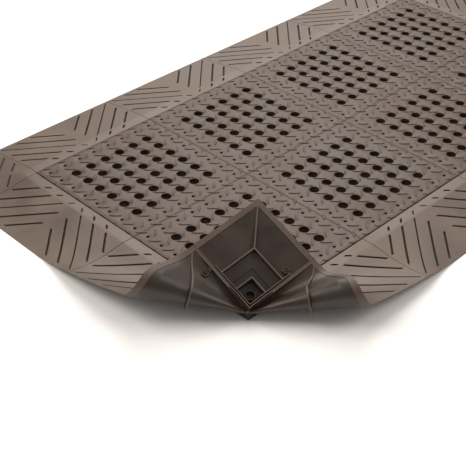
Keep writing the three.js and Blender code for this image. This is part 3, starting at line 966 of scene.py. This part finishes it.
# %% [markdown]
# ## Corner ramps
# A corner ramp is hipped: it slopes down both ways from its inner corner. Its grooves cross the hip at right
# angles and stop just short of it. The turned one shows its underside: two square ribs, a rib under the hip,
# a cup, a double wall along the inner edges and a flat rim. It is cut and raised like the other ramps.

# %% Corner ramps
INNER_RIB = 42.0
OUTER_RIB = 82.0
STEP_AT = 57.0
OUTER_SKIN = 4.0
CORNER_SKIN = 2.6
CORNER_LOWEST = 0.8
CORNER_GROOVE_DEPTH = 1.9
OUTER_WALL_END = GAP + 2.0
CHANNEL_END = OUTER_WALL_END + 2.4
INNER_WALL_END = CHANNEL_END + 1.8
WALL_TO = 2.6 * PITCH
HIP_GAP = 0.25 * PITCH
CORNER_GROOVE_START = 0.19 * PITCH
CORNER_GROOVE_END = 3.76 * PITCH
CUP_AT = 19.0
CUP_RADIUS = 10.0
CUP_WALL = 1.8
CUP_FOOT = 5.0
CUP_SOFT = 0.5
CUP_FLARE = 0.8
CUP_DRAFT = 0.4
CUP_FLOOR = 0.1
CUP_STEPS = 24


def corner_plain(a, r):
    """The face of a corner ramp without its grooves."""
    far = max(a, r)
    if far > RAMP - NEAR:
        return TOE_HEIGHT
    return ramp_top(far) - soft_rim(min(a, r), RAMP)


def corner_face(a, r):
    far, near = max(a, r), min(a, r)
    beside = abs(a - r) > HIP_GAP + ROOT2 * GROOVE_END - NEAR
    started = near > CORNER_GROOVE_START + GROOVE_END - NEAR
    ended = far >= CORNER_GROOVE_END - GROOVE_END + NEAR
    for total in GROOVE_SUMS:
        off = abs(a + r - total * PITCH) / ROOT2
        if beside and started and not ended and off < GROOVE_FLOOR + NEAR:
            return ramp_top(far) - groove_floor(far, CORNER_GROOVE_DEPTH)
    return corner_plain(a, r)


def corner_ceiling(far):
    if far < STEP_AT + NEAR:
        return ramp_top(far) - CORNER_SKIN
    return max(CORNER_LOWEST, ramp_top(far) - OUTER_SKIN)


def corner_under(a, r):
    far, near = max(a, r), min(a, r)
    if far > TRAY_END - NEAR:
        return 0.0
    if near < OUTER_WALL_END + NEAR:
        return 0.0
    if far < WALL_TO + NEAR and CHANNEL_END - NEAR < near < INNER_WALL_END + NEAR:
        return 0.0
    in_channel = near < CHANNEL_END - NEAR and far < WALL_TO + NEAR
    for rib_at in (INNER_RIB, OUTER_RIB):
        if abs(far - rib_at) < RIB / 2 + NEAR and not in_channel:
            return 0.0
    if far > OUTER_RIB and abs(a - r) / ROOT2 < RIB / 2 + NEAR:
        return 0.0
    return corner_ceiling(far)


def corner_lines():
    made = [(1, -1, 0)]
    for total in GROOVE_SUMS:
        made += slanted(total * PITCH, (GROOVE_WIDTH / 2, GROOVE_FLOOR))
    for off in (HIP_GAP, HIP_GAP + ROOT2 * GROOVE_END, ROOT2 * RIB / 2, ROOT2 * (RIB / 2 + DRAFT)):
        made += [(1, -1, off), (1, -1, -off)]
    places = [GAP + RIM_SOFT, BAND, TRAY_END, TRAY_END - DRAFT, RAMP - TOE, STEP_AT, STEP_AT + DRAFT]
    places += [CORNER_GROOVE_START, CORNER_GROOVE_START + GROOVE_END]
    places += [CORNER_GROOVE_END, CORNER_GROOVE_END - GROOVE_END, WALL_TO, WALL_TO + DRAFT]
    for rib_at in (INNER_RIB, OUTER_RIB):
        half = RIB / 2
        places += [rib_at - half - DRAFT, rib_at - half, rib_at + half, rib_at + half + DRAFT]
    places += [OUTER_WALL_END, OUTER_WALL_END + DRAFT, CHANNEL_END - DRAFT, CHANNEL_END]
    places += [INNER_WALL_END, INNER_WALL_END + DRAFT]
    for value in places:
        made += both_sides(value)
    return made


corner_sheet = cut_sheet((GAP, GAP), (RAMP, RAMP), corner_lines())
print("corner faces:", len(corner_sheet[0]))


def cup_mould():
    """The cup near the inner corner, a little wider at its root, with its floor just under the ceiling."""
    bore = CUP_RADIUS - CUP_WALL
    ceiling = corner_ceiling(0)
    rows = [
        (CUP_RADIUS + CUP_FLARE, ceiling + SEATED),
        (CUP_RADIUS, CUP_FOOT + CUP_SOFT),
        (CUP_RADIUS - CUP_SOFT, CUP_FOOT),
        (bore + CUP_SOFT, CUP_FOOT),
        (bore, CUP_FOOT + CUP_SOFT),
        (bore - CUP_DRAFT, ceiling - CUP_FLOOR),
    ]
    made = Mould()
    made.stack([circle(CUP_AT, CUP_AT, z, radius, CUP_STEPS) for radius, z in rows], UNDER)
    return made


def corner_mould(kinds):
    """A corner ramp in its own frame: the tile's corner at the origin and at height THICK, out to -x -y."""
    sheet = Mould()
    raised_sheet(sheet, corner_sheet, corner_plain, corner_face, corner_under)
    sheet.add(cup_mould())
    made = sheet.moved(lambda a, r, z: (-a, -r, z))
    ceiling = corner_ceiling(RAMP_JOINT)
    made.add(joint_mould(kinds[0], ceiling, 0, 0, -RAMP_JOINT))
    made.add(joint_mould(kinds[1], ceiling, 90, -RAMP_JOINT, 0))
    return made


corners = [
    ("corner_front_left", (-HALF_LONG, -HALF_WIDE), 0, ("peg", "loop")),
    ("corner_front_right", (HALF_LONG, -HALF_WIDE), 90, ("loop", "loop")),
    ("corner_back_right", (HALF_LONG, HALF_WIDE), 180, ("loop", "peg")),
    ("corner_back_left", (-HALF_LONG, HALF_WIDE), 270, ("peg", "peg")),
]
for node, origin, angle, kinds in corners:
    mould = corner_mould(kinds)
    spin = TURN if node == "corner_front_left" else Quaternion((0, 0, 1), math.radians(angle))
    corner_place = Vector((*origin, THICK))
    made = mould.moved(lambda x, y, z: corner_place + spin @ Vector((x, y, z - THICK)))
    add_piece(node, made.mesh(node, ramp_finishes))
    print(node, "triangles:", triangles[node])

# %% [markdown]
# ## Triangle count
# The dressed mat keeps to the size of the solids; here the triangles of all the dressed pieces are added up
# and printed.

# %% Triangle count
print("triangles in all:", sum(triangles.values()))
